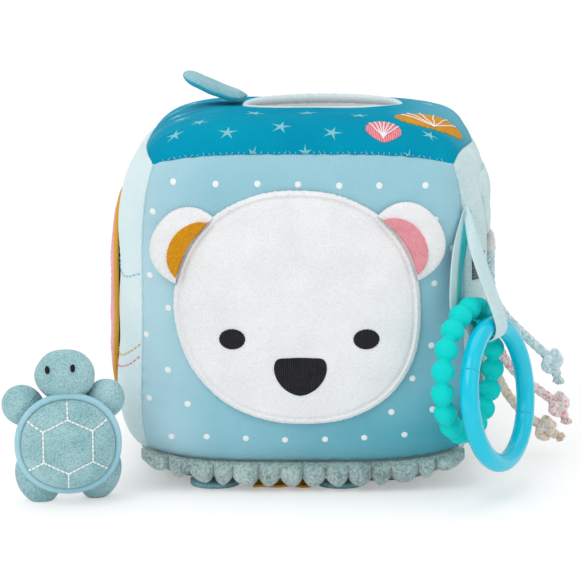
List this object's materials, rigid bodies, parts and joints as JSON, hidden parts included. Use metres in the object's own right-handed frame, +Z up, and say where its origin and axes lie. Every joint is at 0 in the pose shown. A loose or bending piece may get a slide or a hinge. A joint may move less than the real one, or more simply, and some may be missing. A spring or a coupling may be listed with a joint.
{
  "type": "soft fabric block",
  "caption": "Stuffed fabric activity block with a padded bear face, a lined top pocket, a side flap, two teething rings on a ribbon, knotted ropes and a small stuffed turtle beside it.",
  "frame": {"origin": "the middle of the flat base of the block, on the surface that it stands on", "axes": "+X to the right of the bear's face, -Y out of the bear's face, +Z up"},
  "size_m": [0.274, 0.2193, 0.1903],
  "materials": {
    "dotted_blue_cloth": "brushed light blue cloth with small white dots",
    "pale_aqua_cloth": "pale aqua cloth with fine white dots",
    "pale_terry": "pale aqua looped terry",
    "sea_green_plush": "grey-green wrinkled plush",
    "starred_teal_cloth": "teal cloth with pale stars",
    "white_plush": "short white plush",
    "fibre_filling": "loose polyester fibre",
    "rattle_plastic": "moulded",
    "ochre_stitching": "satin stitching",
    "rose_stitching": "satin stitching",
    "black_stitching": "satin stitching",
    "rose_cloth": "printed cotton",
    "ochre_cloth": "bias binding",
    "slate_tape": "woven tape, bare",
    "aqua_rope": "braided cotton",
    "pink_rope": "braided cotton with pink flecks",
    "sand_rope": "braided cotton with ochre flecks",
    "turquoise_silicone": "satin silicone",
    "hoop_plastic": "polished",
    "aqua_ribbon": "satin ribbon, teal inside",
    "turtle_terry": "ribbed blue-green terry",
    "piping_cloth": "light blue piping"
  },
  "bodies": {
    "block": {"front_panel": "dotted_blue_cloth", "back_panel": "dotted_blue_cloth", "left_panel": "pale_aqua_cloth", "right_panel": "pale_terry", "bottom_panel": "sea_green_plush", "top_panel": "starred_teal_cloth", "pocket_binding": "pale_aqua_cloth", "pocket_lining": "white_plush", "filling_lower": "fibre_filling", "filling_upper": "fibre_filling", "rattle_cup_lower": "rattle_plastic", "rattle_cup_upper": "rattle_plastic", "bear_head": "white_plush", "bear_eye_left": "black_stitching", "bear_eye_right": "black_stitching", "bear_nose": "black_stitching", "pink_shell": "rose_stitching", "ochre_shell": "ochre_stitching", "base_frill": "sea_green_plush", "base_tab_left": "turtle_terry", "base_tab_right": "turtle_terry", "base_tag": "ochre_cloth", "rope_bell": "pale_terry", "bell_trim": "white_plush", "rope_aqua": "aqua_rope", "rope_knot_aqua": "aqua_rope", "rope_pink": "pink_rope", "rope_knot_pink": "pink_rope", "rope_sand": "sand_rope", "rope_knot_sand": "sand_rope"},
    "rattle_ball": {"rattle_ball": "rattle_plastic"},
    "left_ear": {"bear_ear_left": "white_plush", "ear_patch_left": "ochre_stitching"},
    "right_ear": {"bear_ear_right": "white_plush", "ear_patch_right": "rose_stitching"},
    "top_fin": {"top_fin": "turtle_terry"},
    "side_flap": {"flap_lining": "starred_teal_cloth", "flap_pad": "rose_cloth", "flap_binding": "ochre_cloth"},
    "side_tag": {"side_tag": "slate_tape"},
    "ribbon": {"ribbon_loop": "aqua_ribbon"},
    "bead_ring": {"bead_ring": "turquoise_silicone"},
    "hoop": {"hoop_pegged_half": "hoop_plastic", "hoop_socket_half": "hoop_plastic"},
    "turtle": {"turtle_shell": "turtle_terry", "turtle_belly": "turtle_terry", "turtle_piping": "piping_cloth", "turtle_head": "turtle_terry", "turtle_arm_left": "turtle_terry", "turtle_arm_right": "turtle_terry", "turtle_leg_left": "turtle_terry", "turtle_leg_right": "turtle_terry", "turtle_eye_left": "black_stitching", "turtle_eye_right": "black_stitching"}
  },
  "joints": [
    {"name": "rattle_ball_roll", "type": "slide", "parent": "block", "child": "rattle_ball", "axis": [0, 0, 1], "range_m": [0, 0.008]},
    {"name": "left_ear_lift", "type": "hinge", "parent": "block", "child": "left_ear", "pos_m": [-0.0534, -0.0929, 0.1188], "axis": [0.4937, 0, 0.8696], "range_deg": [0, 35]},
    {"name": "right_ear_lift", "type": "hinge", "parent": "block", "child": "right_ear", "pos_m": [0.0469, -0.0942, 0.1203], "axis": [0.5235, 0, -0.852], "range_deg": [0, 35]},
    {"name": "fin_bend", "type": "hinge", "parent": "block", "child": "top_fin", "pos_m": [-0.032, 0.004, 0.1757], "axis": [0.225, 0.9744, 0], "range_deg": [-10, 50], "stiffness_Nm_per_rad": 0.01},
    {"name": "flap_turn", "type": "hinge", "parent": "block", "child": "side_flap", "pos_m": [-0.0896, 0.0521, 0.082], "axis": [0, 0, -1], "range_deg": [0, 110]},
    {"name": "side_tag_turn", "type": "hinge", "parent": "block", "child": "side_tag", "pos_m": [0.08, -0.0721, 0.1056], "axis": [0, 0, -1], "range_deg": [0, 60]},
    {"name": "ribbon_swing", "type": "hinge", "parent": "block", "child": "ribbon", "pos_m": [0.0759, -0.0758, 0.1345], "axis": [-0.4695, -0.8829, 0], "range_deg": [0, 80]},
    {"name": "bead_ring_spin", "type": "hinge", "parent": "ribbon", "child": "bead_ring", "pos_m": [0.0767, -0.092, 0.0605], "axis": [0.8829, -0.4695, 0], "continuous": true},
    {"name": "hoop_swing", "type": "hinge", "parent": "ribbon", "child": "hoop", "pos_m": [0.08658, -0.09212, 0.08149], "axis": [-0.4695, -0.8829, 0], "range_deg": [0, 60]},
    {"name": "turtle_lift", "type": "slide", "parent": "block", "child": "turtle", "axis": [0, 0, 1], "range_m": [0, 0.1]}
  ]
}
